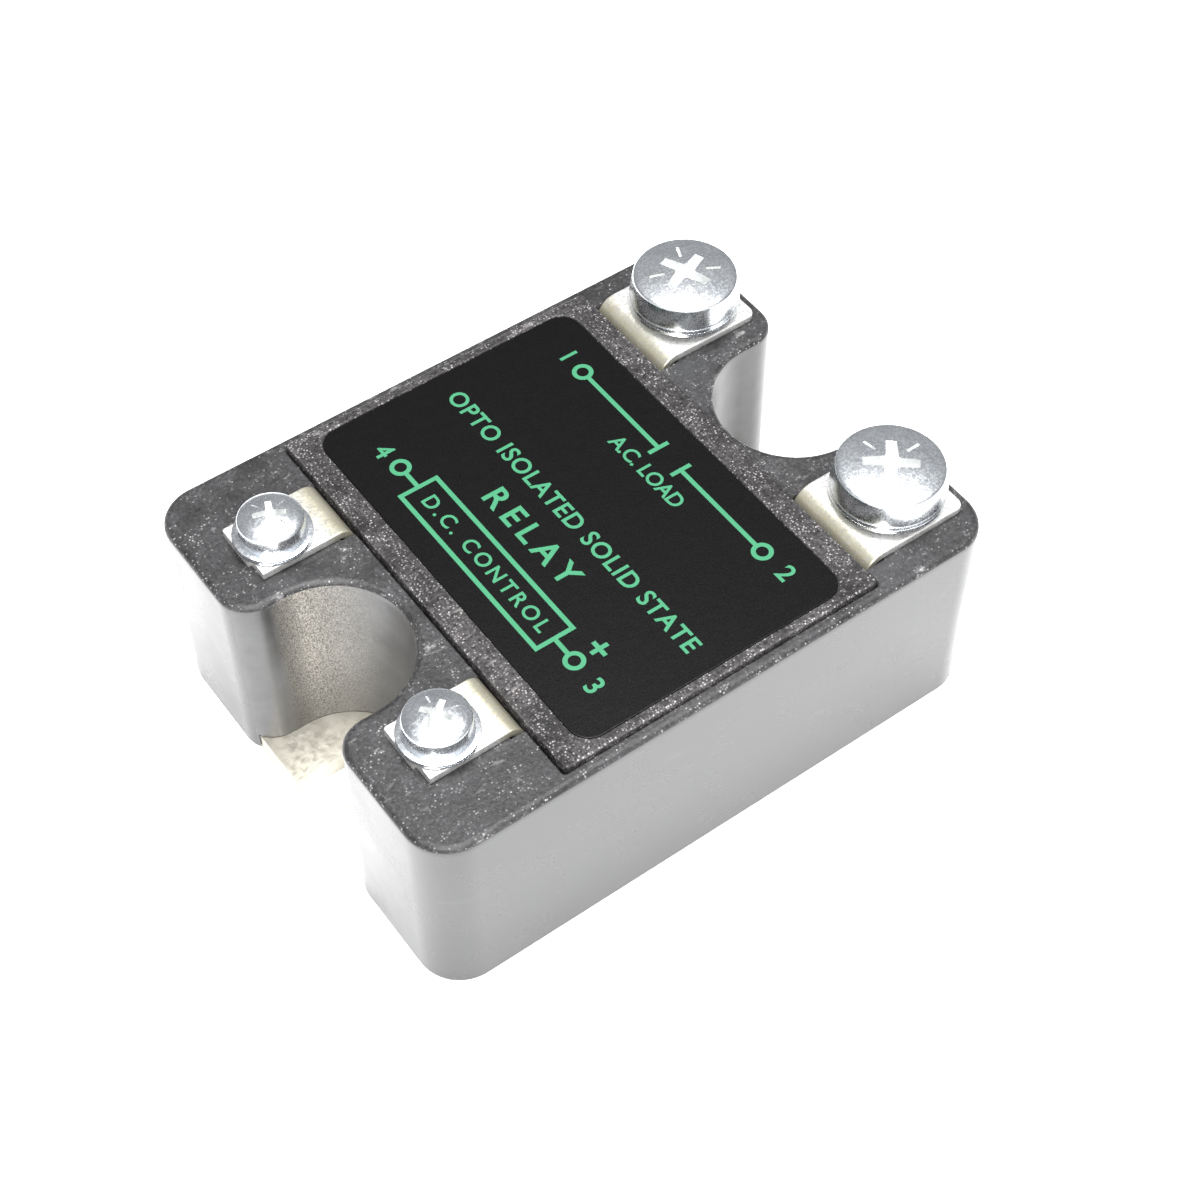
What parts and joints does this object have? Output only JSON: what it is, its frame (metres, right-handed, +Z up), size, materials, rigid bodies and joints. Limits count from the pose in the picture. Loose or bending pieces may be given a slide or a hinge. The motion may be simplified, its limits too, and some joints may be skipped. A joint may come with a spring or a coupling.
{
  "type": "solid state relay",
  "caption": "Panel mount solid state relay: a moulded block on a metal base plate, with screw terminals at both ends and a recessed label on its lid.",
  "frame": {"origin": "centre of the footprint on the underside of the base plate", "axes": "+Z up, away from the mounting panel; +X from the control end to the load end; +Y to the long side beside terminals 1 and 4"},
  "size_m": [0.0576, 0.0446, 0.0253],
  "materials": {
    "nickel_plate": "rough nickel plate",
    "adhesive": "matt, uneven bead",
    "moulding": "black moulded plastic, spark eroded top, smooth sides",
    "label_film": "satin charcoal film with green print",
    "tinned_strip": "bright tin plate",
    "plated_steel": "bright zinc plate",
    "solder": "dull",
    "ceramic": "fired alumina",
    "copper": "bright copper",
    "silicon": "glass passivated die",
    "board": "green solder mask",
    "opto_resin": "moulded resin",
    "resistor_paint": "lacquer",
    "diode_glass": "glass bead",
    "capacitor_dip": "dipped resin",
    "gel": "clear silicone gel"
  },
  "bodies": {
    "body": {"base_plate": "nickel_plate", "base_seal": "adhesive", "housing": "moulding", "lid": "moulding", "label": "label_film", "load_terminal_1": "tinned_strip", "load_terminal_2": "tinned_strip", "control_terminal_3": "tinned_strip", "control_terminal_4": "tinned_strip", "load_nut_1": "plated_steel", "load_nut_2": "plated_steel", "control_nut_3": "plated_steel", "control_nut_4": "plated_steel", "solder_layer": "solder", "ceramic_substrate": "ceramic", "copper_pad_1": "copper", "copper_pad_2": "copper", "thyristor_a": "silicon", "thyristor_b": "silicon", "strap_a": "copper", "strap_b": "copper", "gate_lead_a": "tinned_strip", "gate_lead_b": "tinned_strip", "circuit_board": "board", "optocoupler": "opto_resin", "input_resistor": "resistor_paint", "gate_resistor_a": "resistor_paint", "gate_resistor_b": "resistor_paint", "transistor": "moulding", "diode": "diode_glass", "filter_capacitor": "capacitor_dip", "potting_gel": "gel"},
    "washer_1": {"load_washer_1": "plated_steel"},
    "washer_2": {"load_washer_2": "plated_steel"},
    "washer_3": {"control_washer_3": "plated_steel"},
    "washer_4": {"control_washer_4": "plated_steel"},
    "screw_1": {"load_screw_1": "plated_steel"},
    "screw_2": {"load_screw_2": "plated_steel"},
    "screw_3": {"control_screw_3": "plated_steel"},
    "screw_4": {"control_screw_4": "plated_steel"}
  },
  "joints": [
    {"name": "screw_1_lift", "type": "slide", "parent": "body", "child": "washer_1", "axis": [0, 0, 1], "range_m": [-0.0006, 0.0027]},
    {"name": "screw_1_turn", "type": "hinge", "parent": "washer_1", "child": "screw_1", "pos_m": [0.0229, 0.0143, 0.0226], "axis": [0, 0, 1], "range_deg": [-270, 1215]},
    {"name": "screw_2_lift", "type": "slide", "parent": "body", "child": "washer_2", "axis": [0, 0, 1], "range_m": [-0.0006, 0.0027]},
    {"name": "screw_2_turn", "type": "hinge", "parent": "washer_2", "child": "screw_2", "pos_m": [0.0229, -0.0143, 0.0226], "axis": [0, 0, 1], "range_deg": [-270, 1215]},
    {"name": "screw_3_lift", "type": "slide", "parent": "body", "child": "washer_3", "axis": [0, 0, 1], "range_m": [-0.0001, 0.0018]},
    {"name": "screw_3_turn", "type": "hinge", "parent": "washer_3", "child": "screw_3", "pos_m": [-0.0218, -0.0126, 0.0218], "axis": [0, 0, 1], "range_deg": [-72, 1296]},
    {"name": "screw_4_lift", "type": "slide", "parent": "body", "child": "washer_4", "axis": [0, 0, 1], "range_m": [-0.0001, 0.0018]},
    {"name": "screw_4_turn", "type": "hinge", "parent": "washer_4", "child": "screw_4", "pos_m": [-0.0218, 0.0126, 0.0218], "axis": [0, 0, 1], "range_deg": [-72, 1296]}
  ],
  "couplings": [
    {"joint": "screw_1_turn", "follows": "screw_1_lift", "rad_per_m": 7854},
    {"joint": "screw_2_turn", "follows": "screw_2_lift", "rad_per_m": 7854},
    {"joint": "screw_3_turn", "follows": "screw_3_lift", "rad_per_m": 12566},
    {"joint": "screw_4_turn", "follows": "screw_4_lift", "rad_per_m": 12566}
  ]
}
